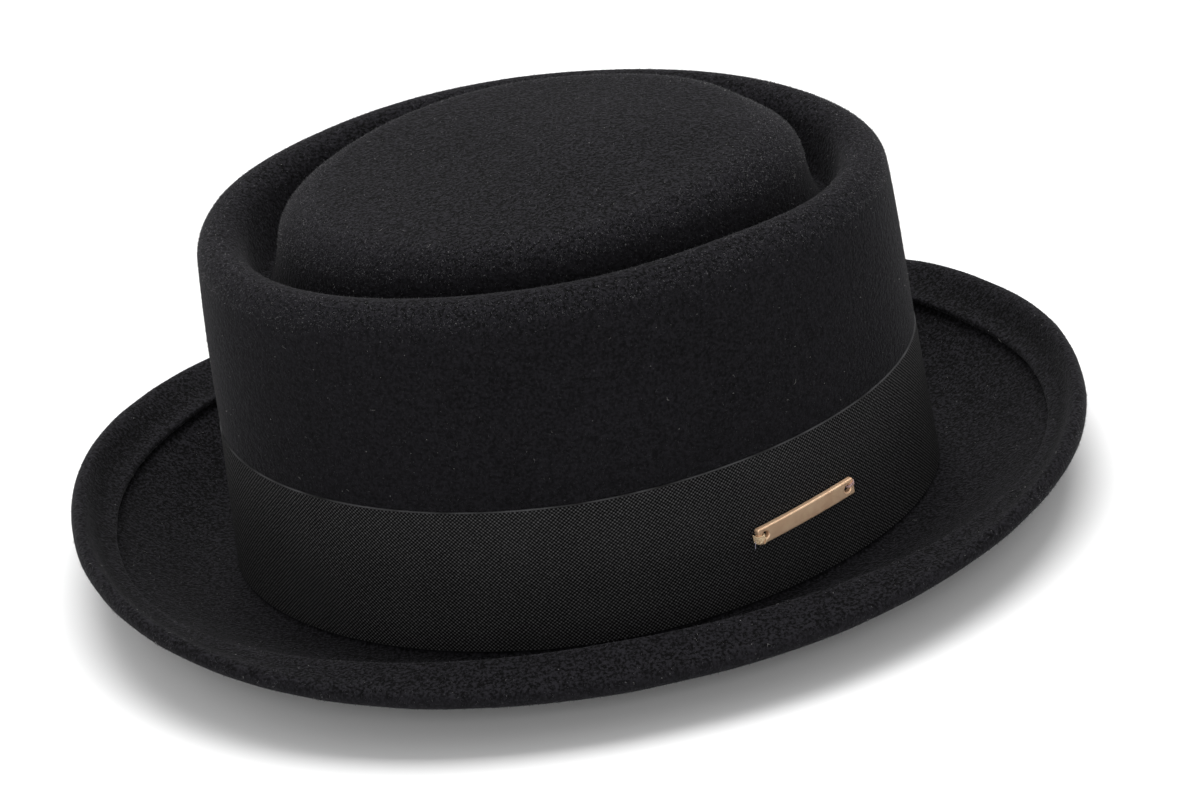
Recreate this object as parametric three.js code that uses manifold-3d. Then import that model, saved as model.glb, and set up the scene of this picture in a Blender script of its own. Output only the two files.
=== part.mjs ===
// Pork pie hat: one piece of blocked felt, a ribbon round the crown's foot and a small metal bar on it.
// Millimetres. +X is the front, +Y the wearer's left, +Z up. The hat stands on its own brim at z = 0,
// with the origin under the middle of the brim.
import * as THREE from 'three';
import { mergeVertices } from 'three/addons/utils/BufferGeometryUtils.js';
import Module from 'manifold-3d';

// Driving dimensions

const FELT = 2.5; // thickness of one layer of felt

// The foot of the crown's wall, outside of the felt
const HEAD_LENGTH = 203.6;
const HEAD_WIDTH = 163.6;
const HEAD_FORWARD = 0.9; // the crown stands this far in front of the brim's middle
const FRONT_NARROWING = 0.036; // share by which the front half of each oval is narrower than its middle

// The crown, above the top of the brim
const CROWN_HEIGHT = 104.5; // top of the rim roll, at the sides
const RIM_DIP = 2.9; // the rim is this much lower at the front and back
const RIM_TIP = 0.6; // the rim's front is this much lower than its middle, its back higher
const LEAN_ENDS = 4.4; // the wall leans in by this much from its foot to the rim, front and back
const LEAN_SIDES = 5.6; // and at the sides
const CROWN_BACK = 0.9; // the crown slopes back by this much from its foot to the rim
const RIM_RADIUS = 6.6; // the soft roll round the top of the wall
const GROOVE_ENDS = 9.6; // width of the groove inside the rim, front and back
const GROOVE_SIDES = 6.2; // and at the sides
const GROOVE_DEPTH = 17.0; // below the top of the rim
const TABLE_RISE = 7.0; // the raised table's edge stands this much above the rim, at the sides
const TABLE_ROLL_ENDS = 14.0; // radius of the table's soft edge, front and back
const TABLE_ROLL_SIDES = 7.0; // and at the sides
const TABLE_DOME = 2.6; // the table's middle above its edge
const TABLE_TIP = 1.8; // the table's front edge is this much higher than its middle, its back edge lower

// The brim, from the foot of the wall to the middle of the rounded edge
const FOOT_RADIUS = 1.0; // the bend from wall to brim
const REST_RING = 4.0; // width of the flat ring that the hat stands on
const BRIM_ENDS = 40.9; // brim width front and back, seen from above
const BRIM_SIDES = 42.4; // and at the sides
const LIFT_ENDS = 20.4; // the edge's height above the foot, front and back
const LIFT_SIDES = 13.0; // and at the sides
const BACK_LIFT = 1.0; // the back edge is this much higher than the middle, the front edge lower
const HEM_ENDS = 7.8; // width of the folded hem up to the middle of the rounded edge, front and back
const HEM_SIDES = 10.4; // and at the sides
const HEM_EDGE = 3.1; // radius of the rounded edge, where the felt folds back on itself
const HEM_LAYER = 3.6; // thickness of the folded layer at its inner lip
const HEM_WAIST = 2.2; // and where it is pressed flat, between the lip and the rounded edge
const HEM_LIP = 1.0; // radius of the hem's inner lip
const HEM_UNDERCUT = 1.5; // the lip stands off the brim's face, open this far in

// The ribbon
const BAND_FOOT = 1.2; // its lower edge above the top of the brim
const BAND_WIDTH = 43.6;
const BAND_THICKNESS = 0.7;
const FIT_GAP = 0.3; // clearance between two pieces that lie on each other

// The metal bar on the ribbon
const BAR_LENGTH = 34.0;
const BAR_HEIGHT = 4.9;
const BAR_THICKNESS = 1.8;
const BAR_BEVEL = 0.3;
const BAR_HOLE_RADIUS = 1.1;
const BAR_HOLE_INSET = 2.4; // from the bar's end to the middle of its hole
const BAR_PLACE = -55.7; // place round the band, in degrees from the front
const BAR_RAISE = 21.3; // the bar's middle above the band's lower edge
const BAR_SLANT = 2.7; // the bar's front end is raised, in degrees
const BAR_EASE = 2; // the bar's bend has this many times the band's radius

// Facets
const AROUND = 64; // round the hat
// along each stretch of the section, along the bar and round its holes
const STEPS = { table: 4, rim: 7, foot: 2, floor: 4, lip: 3, edge: 5, under: 6, bend: 3, bar: 10, hole: 20 };

// Tables of sections: shares of the sizes above

// Wall of the crown: share of the height up to the rim's middle, shares of the lean reached there
const WALL_ROWS = [
  { up: 0.23, ends: 0.26, sides: 0.07 },
  { up: 0.46, ends: 0.50, sides: 0.18 },
  { up: 0.66, ends: 0.62, sides: 0.40 },
  { up: 0.84, ends: 0.76, sides: 0.71 },
];

// Groove, from the rim to the table: share of its depth below the rim's middle, share of its width
const GROOVE_ROWS = [
  { down: 0.40, across: 0.10 },
  { down: 0.75, across: 0.22 },
  { down: 0.94, across: 0.34 },
  { down: 1.00, across: 0.50 },
  { down: 0.94, across: 0.66 },
  { down: 0.75, across: 0.79 },
  { down: 0.35, across: 0.92 },
];

// Brim: share of the way from the flat ring to the edge, shares of the edge's lift reached there
const BRIM_ROWS = [
  { out: 0.00, ends: 0.00, sides: 0.00 },
  { out: 0.20, ends: 0.05, sides: 0.17 },
  { out: 0.40, ends: 0.16, sides: 0.51 },
  { out: 0.60, ends: 0.34, sides: 0.97 },
  { out: 0.78, ends: 0.55, sides: 1.22 },
  { out: 0.90, ends: 0.78, sides: 1.15 },
  { out: 1.00, ends: 1.00, sides: 1.00 },
];

// Shares of the way out at which the table's dome and the hem's top have a ring
const DOME_SHARES = [0.35, 0.7];
const HEM_SHARES = [0.4, 0.7];

// Fullness of the ovals: 2 is an ellipse, more is squarer
const FULLNESS = { foot: 1.89, rim: 1.98, table: 1.9, edge: 2.15 };

// The hat's section, drawn once at the front or back and once at a side as [out, up] points.
// Heights are above the top of the brim at the foot of the wall.

const SECTIONS = {
  ends: {
    foot: HEAD_LENGTH / 2, lean: LEAN_ENDS, groove: GROOVE_ENDS, dip: RIM_DIP,
    roll: TABLE_ROLL_ENDS, brim: BRIM_ENDS, lift: LIFT_ENDS, hem: HEM_ENDS,
  },
  sides: {
    foot: HEAD_WIDTH / 2, lean: LEAN_SIDES, groove: GROOVE_SIDES, dip: 0,
    roll: TABLE_ROLL_SIDES, brim: BRIM_SIDES, lift: LIFT_SIDES, hem: HEM_SIDES,
  },
};

const arc = (out, up, radius, from, to, steps) => {
  const points = [];
  for (let k = 0; k <= steps; k += 1) {
    const angle = THREE.MathUtils.degToRad(from + ((to - from) * k) / steps);
    points.push([out + radius * Math.cos(angle), up + radius * Math.sin(angle)]);
  }
  return points;
};

// A smooth curve through a table's rows, level at its first row
const curveThrough = (rows, key, value) => (share) => {
  let k = rows.findIndex((row) => row[key] >= share);
  k = Math.min(Math.max(k, 1), rows.length - 1);
  const slope = (j) => {
    if (j === 0) return 0;
    const before = rows[j - 1];
    const after = rows[Math.min(j + 1, rows.length - 1)];
    return (after[value] - before[value]) / (after[key] - before[key]);
  };
  const span = rows[k][key] - rows[k - 1][key];
  const t = (share - rows[k - 1][key]) / span;
  const steep = [slope(k - 1) * span, slope(k) * span];
  return rows[k - 1][value] * (1 + 2 * t) * (1 - t) ** 2 + steep[0] * t * (1 - t) ** 2
    + rows[k][value] * t * t * (3 - 2 * t) - steep[1] * t * t * (1 - t);
};

// The wall's outside, as rows of height, distance out and fullness
const wallRows = (name) => {
  const { foot, lean, dip } = SECTIONS[name];
  const rimMiddle = CROWN_HEIGHT - dip - RIM_RADIUS;
  const row = (height, share) => ({
    height,
    out: foot - lean * share,
    fullness: FULLNESS.foot + (FULLNESS.rim - FULLNESS.foot) * (height / rimMiddle) ** 2,
  });
  const between = WALL_ROWS.map(({ up, [name]: share }) => row(rimMiddle * up, share));
  return [row(FOOT_RADIUS, 0), ...between, row(rimMiddle, 1)];
};

const wallAt = (name, height) => {
  const rows = wallRows(name);
  const k = Math.max(rows.findIndex((row) => row.height >= height), 1);
  const part = (height - rows[k - 1].height) / (rows[k].height - rows[k - 1].height);
  const mix = (key) => rows[k - 1][key] + part * (rows[k][key] - rows[k - 1][key]);
  return { height, out: mix('out'), fullness: mix('fullness') };
};

// A point of the brim's lower layer, on its upper face, and the way up from that face
const brimAt = (name) => {
  const { foot, brim, lift } = SECTIONS[name];
  const start = foot + FOOT_RADIUS + REST_RING;
  const rise = curveThrough(BRIM_ROWS, 'out', name);
  const at = (share) => [start + (foot + brim - start) * share, lift * rise(share)];
  return (share) => {
    const point = at(share);
    if (share === 0) return { point, along: [1, 0], normal: [0, 1] };
    const before = at(share - 0.01);
    const after = at(Math.min(share + 0.01, 1));
    const run = Math.hypot(after[0] - before[0], after[1] - before[1]);
    const along = [(after[0] - before[0]) / run, (after[1] - before[1]) / run];
    return { point, along, normal: [-along[1], along[0]] };
  };
};

const moved = ({ point, along, normal }, forward, up) => [
  point[0] + along[0] * forward + normal[0] * up,
  point[1] + along[1] * forward + normal[1] * up,
];

// One closed section, as stations with the fullness of their ovals
const drawSection = (name) => {
  const { foot, lean, groove, roll, dip, brim, hem } = SECTIONS[name];
  const stations = [];
  const add = (points, fullness, layer, tip = 0) => {
    points.forEach((point) => stations.push({ point, fullness, layer, tip }));
  };

  // the table's top and edge
  const rimMiddle = CROWN_HEIGHT - dip - RIM_RADIUS;
  const rimOut = foot - lean - RIM_RADIUS;
  const tableOut = rimOut - RIM_RADIUS - groove;
  const tableUp = CROWN_HEIGHT + TABLE_RISE - roll;
  const flatOut = tableOut - roll;
  const dome = DOME_SHARES.map((share) => [flatOut * share, tableUp + roll + TABLE_DOME * (1 - share ** 2)]);
  add(dome, FULLNESS.table, 'skin', TABLE_TIP);
  add(arc(flatOut, tableUp, roll, 90, 0, STEPS.table), FULLNESS.table, 'skin', TABLE_TIP);

  // the groove and the rim's roll
  const bottom = CROWN_HEIGHT - dip - GROOVE_DEPTH;
  GROOVE_ROWS.slice().reverse().forEach(({ down, across }) => {
    const top = across > 0.5 ? tableUp : rimMiddle;
    const point = [rimOut - RIM_RADIUS - groove * across, top + (bottom - top) * down];
    add([point], FULLNESS.table, 'skin');
  });
  add(arc(rimOut, rimMiddle, RIM_RADIUS, 180, 0, STEPS.rim), FULLNESS.rim, 'skin', -RIM_TIP);

  // the wall down to its foot
  wallRows(name).slice(1, -1).reverse().forEach(({ height, out, fullness }) => {
    add([[out, height]], fullness, 'skin');
  });
  add(arc(foot + FOOT_RADIUS, FOOT_RADIUS, FOOT_RADIUS, 180, 270, STEPS.foot), FULLNESS.foot, 'skin');

  // the brim's upper face up to the hem and a little way under its lip
  const brimPoint = brimAt(name);
  const reach = brim - FOOT_RADIUS - REST_RING;
  const lip = 1 - hem / reach;
  const edgeFullness = (share) => FULLNESS.foot + (FULLNESS.edge - FULLNESS.foot) * share;
  for (let k = 0; k <= STEPS.floor; k += 1) {
    const share = (lip * k) / STEPS.floor;
    add([brimPoint(share).point], edgeFullness(share), 'floor');
  }
  const covered = lip + HEM_UNDERCUT / reach;
  add([brimPoint(covered).point], edgeFullness(covered), 'floor');

  // the hem's lip, its top and the rounded edge
  const lipBase = brimPoint(lip);
  const lipArc = arc(HEM_LIP, HEM_LAYER - HEM_LIP, HEM_LIP, 225, 90, STEPS.lip);
  lipArc.forEach(([forward, up]) => add([moved(lipBase, forward, up)], edgeFullness(lip), 'hem'));
  HEM_SHARES.forEach((part) => {
    const share = lip + (1 - lip) * part;
    add([moved(brimPoint(share), 0, HEM_WAIST)], edgeFullness(share), 'hem');
  });
  arc(0, 0, HEM_EDGE, 90, -90, STEPS.edge).forEach(([forward, up]) => {
    add([moved(brimPoint(1), forward, up)], FULLNESS.edge, 'hem');
  });

  // the brim's under face, back to the flat ring
  for (let k = STEPS.under - 1; k >= 0; k -= 1) {
    const share = k / STEPS.under;
    add([moved(brimPoint(share), 0, -FELT)], edgeFullness(share), 'under');
  }
  add(arc(foot + FOOT_RADIUS, FOOT_RADIUS, FOOT_RADIUS + FELT, 270, 180, STEPS.bend), FULLNESS.foot, 'under');
  return stations;
};

// The same point of the section, one layer of felt further in
const innerPoint = (stations, k) => {
  const before = stations[Math.max(k - 1, 0)].point;
  const after = stations[Math.min(k + 1, stations.length - 1)].point;
  const run = Math.hypot(after[0] - before[0], after[1] - before[1]);
  const [out, up] = stations[k].point;
  return [out + (FELT * (after[1] - before[1])) / run, up - (FELT * (after[0] - before[0])) / run];
};

// The crown slopes back as it rises
const crownMiddle = (up) => HEAD_FORWARD - CROWN_BACK * THREE.MathUtils.clamp(up / CROWN_HEIGHT, 0, 1);

// A ring of points on an oval whose height runs from the ends' value to the sides' value
const oval = (ends, sides, fullness, { middle, tip = 0, back = 0 }) => {
  const ring = [];
  for (let k = 0; k < AROUND; k += 1) {
    const angle = (2 * Math.PI * k) / AROUND;
    const [c, s] = [Math.cos(angle), Math.sin(angle)];
    const along = Math.sign(c) * Math.abs(c) ** (2 / fullness);
    const across = Math.sign(s) * Math.abs(s) ** (2 / fullness) * (1 - FRONT_NARROWING * along);
    ring.push(new THREE.Vector3(
      ends[0] * along + middle,
      sides[0] * across,
      ends[1] * c * c + sides[1] * s * s + tip * along - back * along + FELT,
    ));
  }
  return ring;
};

// A closed skin over rings of points, either from pole to pole or joined into a loop
const skin = (rings, poles) => {
  const positions = rings.flat().flatMap((p) => p.toArray());
  const index = [];
  const pairs = poles ? rings.length - 1 : rings.length;
  for (let j = 0; j < pairs; j += 1) {
    const [upper, lower] = [j * AROUND, ((j + 1) % rings.length) * AROUND];
    for (let k = 0; k < AROUND; k += 1) {
      const next = (k + 1) % AROUND;
      index.push(upper + k, lower + k, lower + next, upper + k, lower + next, upper + next);
    }
  }
  if (poles) {
    const top = positions.length / 3;
    positions.push(...poles[0].toArray(), ...poles[1].toArray());
    const last = (rings.length - 1) * AROUND;
    for (let k = 0; k < AROUND; k += 1) {
      const next = (k + 1) % AROUND;
      index.push(top, k, next, top + 1, last + next, last + k);
    }
  }
  const geometry = new THREE.BufferGeometry();
  geometry.setAttribute('position', new THREE.Float32BufferAttribute(positions, 3));
  geometry.setIndex(index);
  return geometry;
};

// The felt: crown, brim and folded hem in one closed solid, hollow for the head

const feltGeometry = () => {
  const ends = drawSection('ends');
  const sides = drawSection('sides');
  const ringEnd = SECTIONS.ends.foot + FOOT_RADIUS + REST_RING;
  const edgeMiddle = SECTIONS.ends.foot + BRIM_ENDS;
  const rings = ends.map((station, k) => {
    const { point, fullness, layer, tip } = station;
    if (layer === 'skin') {
      return oval(point, sides[k].point, fullness, { middle: crownMiddle(sides[k].point[1]), tip });
    }
    // out past the flat ring the ovals draw level with the brim's middle and tip back
    const share = THREE.MathUtils.clamp((point[0] - ringEnd) / (edgeMiddle - ringEnd), 0, 1);
    const middle = HEAD_FORWARD * (1 - share ** 2);
    return oval(point, sides[k].point, fullness, { middle, back: BACK_LIFT * share ** 2 });
  });
  // the inner wall follows every second station, from the lowest row of the wall up to the table
  const lowestRow = ends.findIndex((station) => station.layer === 'floor') - STEPS.foot - 2;
  for (let k = lowestRow; k >= 0; k -= 2) {
    const { fullness, tip } = ends[k];
    const inside = innerPoint(sides, k);
    rings.push(oval(innerPoint(ends, k), inside, fullness, { middle: crownMiddle(inside[1]), tip }));
  }
  const top = CROWN_HEIGHT + TABLE_RISE + TABLE_DOME + FELT;
  const poles = [top, top - FELT].map((height) => new THREE.Vector3(crownMiddle(CROWN_HEIGHT), 0, height));
  return skin(rings, poles);
};

// The ribbon: a ring that follows the wall at a small gap, with softened edges

const bandGeometry = () => {
  const soft = BAND_THICKNESS / 4;
  const top = BAND_FOOT + BAND_WIDTH;
  const between = WALL_ROWS.filter((row, k) => wallRows('sides')[k + 1].height < top);
  // the wall's rows that the ribbon covers, from its lower to its upper edge
  const levels = ['ends', 'sides'].map((name) => [
    wallAt(name, BAND_FOOT),
    wallAt(name, BAND_FOOT + soft),
    ...wallRows(name).slice(1, 1 + between.length),
    wallAt(name, top - soft),
    wallAt(name, top),
  ]);
  const last = levels[0].length - 1;
  const inner = [0, ...between.map((row, k) => k + 2), last].map((level) => [level, 0]);
  const outer = levels[0].map((row, level) => [level, BAND_THICKNESS]);
  outer[0][1] -= soft;
  outer[last][1] -= soft;
  const path = [...outer, ...inner.reverse()];
  const rings = path.map(([level, outward]) => {
    const [ends, sides] = levels.map((rows) => [rows[level].out + FIT_GAP + outward, rows[level].height]);
    return oval(ends, sides, levels[1][level].fullness, { middle: crownMiddle(sides[1]) });
  });
  return skin(rings.reverse(), null);
};

// The metal bar: a bevelled strip with a hole near each end, gently bent round an upright line

const wasm = await Module();
wasm.setup();

const toSolid = (geometry) => {
  geometry.deleteAttribute('normal');
  geometry.deleteAttribute('uv');
  const merged = mergeVertices(geometry);
  return new wasm.Manifold(new wasm.Mesh({
    numProp: 3,
    vertProperties: merged.attributes.position.array,
    triVerts: Uint32Array.from(merged.index.array),
  }));
};

const toGeometry = (solid) => {
  const { vertProperties, triVerts } = solid.getMesh();
  const geometry = new THREE.BufferGeometry();
  geometry.setAttribute('position', new THREE.BufferAttribute(vertProperties, 3));
  geometry.setIndex(new THREE.BufferAttribute(triVerts, 1));
  return geometry;
};

// A point on the outside of the band, at a place round it and a height above the brim
const onBand = (degrees, up) => {
  const outside = (name) => wallAt(name, up).out + FIT_GAP + BAND_THICKNESS;
  const angle = THREE.MathUtils.degToRad(degrees);
  const [c, s] = [Math.cos(angle), Math.sin(angle)];
  const { fullness } = wallAt('sides', up);
  const along = Math.sign(c) * Math.abs(c) ** (2 / fullness);
  const across = Math.sign(s) * Math.abs(s) ** (2 / fullness) * (1 - FRONT_NARROWING * along);
  return new THREE.Vector3(outside('ends') * along + crownMiddle(up), outside('sides') * across, up + FELT);
};

// The band's radius behind the bar, seen from above
const bandRadius = (height) => {
  const reach = THREE.MathUtils.radToDeg(BAR_LENGTH / HEAD_LENGTH);
  const [a, b, c] = [-reach, 0, reach].map((turn) => onBand(BAR_PLACE + turn, height));
  const area = new THREE.Triangle(a, b, c).getArea();
  return (a.distanceTo(b) * b.distanceTo(c) * c.distanceTo(a)) / (4 * area);
};

const barGeometry = (radius) => {
  const back = radius + FIT_GAP;
  const [inner, outer] = [back + BAR_BEVEL, back + BAR_THICKNESS - BAR_BEVEL];
  const half = (BAR_LENGTH / 2 - BAR_BEVEL) / (back + BAR_THICKNESS / 2);
  const upright = Math.PI / 2;
  const outline = new THREE.Shape();
  outline.absarc(0, 0, outer, upright - half, upright + half, false);
  outline.absarc(0, 0, inner, upright + half, upright - half, true);
  outline.closePath();
  const plate = new THREE.ExtrudeGeometry(outline, {
    depth: BAR_HEIGHT - 2 * BAR_BEVEL,
    curveSegments: STEPS.bar,
    bevelThickness: BAR_BEVEL,
    bevelSize: BAR_BEVEL,
    bevelSegments: 2,
  });
  plate.rotateX(Math.PI / 2);
  plate.translate(0, BAR_HEIGHT / 2 - BAR_BEVEL, -radius);
  const holes = [-1, 1].map((side) => {
    const drill = new THREE.CylinderGeometry(BAR_HOLE_RADIUS, BAR_HOLE_RADIUS, 3 * BAR_THICKNESS, STEPS.hole);
    drill.rotateX(Math.PI / 2);
    drill.translate(0, 0, back + BAR_THICKNESS / 2);
    drill.rotateY((side * (BAR_LENGTH / 2 - BAR_HOLE_INSET)) / (back + BAR_THICKNESS / 2));
    drill.translate(0, 0, -radius);
    return toSolid(drill);
  });
  return toGeometry(holes.reduce((solid, hole) => solid.subtract(hole), toSolid(plate)));
};

// The bar stands upright on the band, turned by its slant
const placeBar = (bar, height) => {
  const along = onBand(BAR_PLACE + 1, height).sub(onBand(BAR_PLACE - 1, height)).normalize();
  const upward = onBand(BAR_PLACE, height + 1).sub(onBand(BAR_PLACE, height - 1)).normalize();
  const outward = new THREE.Vector3().crossVectors(along, upward).normalize();
  bar.setRotationFromMatrix(new THREE.Matrix4().makeBasis(along, upward, outward));
  bar.rotateZ(THREE.MathUtils.degToRad(BAR_SLANT));
  bar.position.copy(onBand(BAR_PLACE, height));
};

// Materials

const felt = new THREE.MeshStandardMaterial({ color: 0x16161a, roughness: 0.95, metalness: 0 });
const ribbon = new THREE.MeshStandardMaterial({ color: 0x1c1c1e, roughness: 0.7, metalness: 0 });
const metal = new THREE.MeshStandardMaterial({ color: 0xc9966b, roughness: 0.3, metalness: 1 });

// The hat

const named = (name, geometry, material) => {
  const mesh = new THREE.Mesh(geometry, material);
  mesh.name = name;
  return mesh;
};

const hat = new THREE.Group();
const barMiddle = BAND_FOOT + BAR_RAISE;
const metalBar = named('metal_bar', barGeometry(BAR_EASE * bandRadius(barMiddle)), metal);
placeBar(metalBar, barMiddle);
hat.add(named('felt_body', feltGeometry(), felt));
hat.add(named('ribbon_band', bandGeometry(), ribbon));
hat.add(metalBar);

export default hat;
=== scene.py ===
# %% [markdown]
# # A black felt pork pie hat
#
# The measured model of the hat is already there: one hollow solid of felt, a ring of ribbon and a small
# bar. This lesson dresses it. The felt gets its smooth pressed form, its nap and its loose fibres, the
# ribbon gets its weave and its firm edges, and the bar gets a satin gold finish and the thread that holds
# it. All lengths are in metres, in the measured model's own frame: +X is the front, +Y the wearer's left,
# +Z up.

# %% Load the measured model
import math

import bmesh
import bpy
import numpy as np
from mathutils import Matrix, Vector, noise
from mathutils.bvhtree import BVHTree


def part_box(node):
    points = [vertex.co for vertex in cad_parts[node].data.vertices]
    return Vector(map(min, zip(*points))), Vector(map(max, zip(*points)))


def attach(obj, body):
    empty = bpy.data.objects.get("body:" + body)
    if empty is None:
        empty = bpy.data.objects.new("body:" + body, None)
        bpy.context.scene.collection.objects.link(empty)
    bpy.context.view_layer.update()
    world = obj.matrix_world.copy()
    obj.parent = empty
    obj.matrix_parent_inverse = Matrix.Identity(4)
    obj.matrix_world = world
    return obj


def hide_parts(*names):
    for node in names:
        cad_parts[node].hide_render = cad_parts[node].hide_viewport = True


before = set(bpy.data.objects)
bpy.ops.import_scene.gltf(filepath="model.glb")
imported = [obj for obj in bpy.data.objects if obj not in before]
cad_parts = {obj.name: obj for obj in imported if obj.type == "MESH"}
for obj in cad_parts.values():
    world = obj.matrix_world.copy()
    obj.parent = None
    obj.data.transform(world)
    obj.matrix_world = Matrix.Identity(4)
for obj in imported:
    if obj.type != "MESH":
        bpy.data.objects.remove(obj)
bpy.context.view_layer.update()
MM = 0.001

# %% [markdown]
# ## The view
#
# The hat is seen from its right side, from a little behind and above, through a long lens that keeps the
# ovals almost free of perspective. The camera leans, so the hat's front rises in the picture. A camera is
# placed most simply from the point that it looks at, two angles and a distance.

# %% Camera
AIM = Vector((7.74, -7.06, 37.28)) * MM
AZIMUTH, ELEVATION, LEAN = (math.radians(angle) for angle in (-2.963, 27.613, -8.239))
DISTANCE = 1513.5 * MM
LENS = 159.9  # on a 36 mm wide sensor

toward = Vector((
    math.sin(AZIMUTH) * math.cos(ELEVATION),
    -math.cos(AZIMUTH) * math.cos(ELEVATION),
    math.sin(ELEVATION),
))
sideways = Vector((math.cos(AZIMUTH), math.sin(AZIMUTH), 0))
axes = Matrix((sideways, toward.cross(sideways), toward)).transposed() @ Matrix.Rotation(LEAN, 3, "Z")
camera = bpy.data.objects.new("camera", bpy.data.cameras.new("camera"))
camera.data.lens = LENS
camera.data.sensor_width = 36
camera.data.clip_start = 0.05
camera.matrix_world = Matrix.Translation(AIM + toward * DISTANCE) @ axes.to_4x4()
bpy.context.scene.collection.objects.link(camera)
bpy.context.scene.camera = camera
print("camera at", [round(value, 3) for value in camera.matrix_world.translation])

# %% [markdown]
# ## Floor and light
#
# Black felt needs a lot of soft light. A broad softbox above lights the top of the crown and one in front
# lights the wall and the ribbon. Three weak ones, at the left, at the right and behind, graze the felt so
# that the nap shows as a pale line along the outline. The floor is plain and pale. The plain colour
# transform keeps the blacks as dark as they were chosen.

# %% Floor and lights
scene = bpy.context.scene
scene.view_settings.view_transform = "Standard"
world = bpy.data.worlds.new("studio")
world.use_nodes = True
world.node_tree.nodes["Background"].inputs["Color"].default_value = (1, 1, 1, 1)
world.node_tree.nodes["Background"].inputs["Strength"].default_value = 0.55
scene.world = world

bm = bmesh.new()
bmesh.ops.create_grid(bm, x_segments=1, y_segments=1, size=4)
floor = bpy.data.objects.new("floor", bpy.data.meshes.new("floor"))
bm.to_mesh(floor.data)
bm.free()
paper = bpy.data.materials.new("pale_paper")
paper.use_nodes = True
paper_shader = paper.node_tree.nodes["Principled BSDF"]
paper_shader.inputs["Base Color"].default_value = (0.86, 0.86, 0.86, 1)
paper_shader.inputs["Roughness"].default_value = 0.9
paper_shader.inputs["Specular IOR Level"].default_value = 0.0
floor.data.materials.append(paper)
scene.collection.objects.link(floor)

# places and sizes in metres
SOFTBOXES = [
    {"name": "above", "at": (0.1, 0.35, 1.5), "width": 1.4, "height": 1.0, "watts": 25},
    {"name": "left", "at": (-1.3, 0.9, 0.6), "width": 0.4, "height": 1.0, "watts": 2.5},
    {"name": "right", "at": (1.2, 1.1, 0.6), "width": 0.4, "height": 1.0, "watts": 0.8},
    {"name": "front", "at": (-0.1, -1.7, 0.85), "width": 0.8, "height": 0.8, "watts": 9.8},
    {"name": "back", "at": (-0.2, 1.6, 0.75), "width": 1.2, "height": 0.4, "watts": 5.8},
]
for box in SOFTBOXES:
    light = bpy.data.lights.new(box["name"], "AREA")
    light.shape = "RECTANGLE"
    light.size = box["width"]
    light.size_y = box["height"]
    light.energy = box["watts"]
    lamp = bpy.data.objects.new(box["name"], light)
    direction = Vector((0, 0, 0.06)) - Vector(box["at"])
    lamp.rotation_euler = direction.to_track_quat("-Z", "Y").to_euler()
    lamp.location = box["at"]
    scene.collection.objects.link(lamp)
print(len(SOFTBOXES), "softboxes")

# %% [markdown]
# ## Small helpers
#
# Some things are needed again and again, such as turning a bmesh into an object and taking a clean copy
# of a measured piece. A measured piece is loose triangles, so a copy is merged first, and its pairs of
# triangles are joined to the four-sided faces that subdivision likes. Points and normals are read and
# written as arrays.


# %% Mesh helpers
MERGE = 0.002 * MM


def to_object(bm, name):
    """Turns a finished bmesh into an object at the origin, with smooth faces."""
    for face in bm.faces:
        face.smooth = True
    mesh = bpy.data.meshes.new(name)
    bm.to_mesh(mesh)
    bm.free()
    piece = bpy.data.objects.new(name, mesh)
    scene.collection.objects.link(piece)
    return piece


def clean_copy(node):
    """A bmesh of a measured piece, merged and with four-sided faces."""
    bm = bmesh.new()
    bm.from_mesh(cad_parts[node].data)
    bmesh.ops.remove_doubles(bm, verts=bm.verts, dist=MERGE)
    bmesh.ops.join_triangles(
        bm, faces=bm.faces,
        cmp_seam=False, cmp_sharp=False, cmp_uvs=False, cmp_vcols=False, cmp_materials=False,
        angle_face_threshold=math.radians(60), angle_shape_threshold=math.radians(50),
    )
    return bm


def bake_modifiers(piece):
    """Applies a piece's modifiers, so that the dense surface itself can be worked on."""
    evaluated = piece.evaluated_get(bpy.context.evaluated_depsgraph_get())
    mesh = bpy.data.meshes.new_from_object(evaluated)
    piece.modifiers.clear()
    piece.data = mesh


def read_points(mesh):
    points = np.empty(len(mesh.vertices) * 3)
    mesh.vertices.foreach_get("co", points)
    return points.reshape(-1, 3)


def read_normals(mesh):
    normals = np.empty(len(mesh.vertices) * 3)
    mesh.vertex_normals.foreach_get("vector", normals)
    return normals.reshape(-1, 3)


def write_points(mesh, points):
    mesh.vertices.foreach_set("co", points.ravel())
    mesh.update()


def keep_value(mesh, name, values):
    """Keeps one number for each point of a mesh, for its material to read."""
    attribute = mesh.attributes.new(name, "FLOAT", "POINT")
    attribute.data.foreach_set("value", np.asarray(values, dtype=np.float32))


def subdivide(piece, levels):
    modifier = piece.modifiers.new("smooth", "SUBSURF")
    modifier.levels = levels
    modifier.render_levels = levels


print("mesh helpers ready")

# %% [markdown]
# A material is built from nodes. Adding one by hand takes four or five lines, so this helper makes it
# one. A value can be a number, a colour or another node's output. Every finish has a colour and a
# roughness, and what else it needs is named when it is finished.


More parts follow.
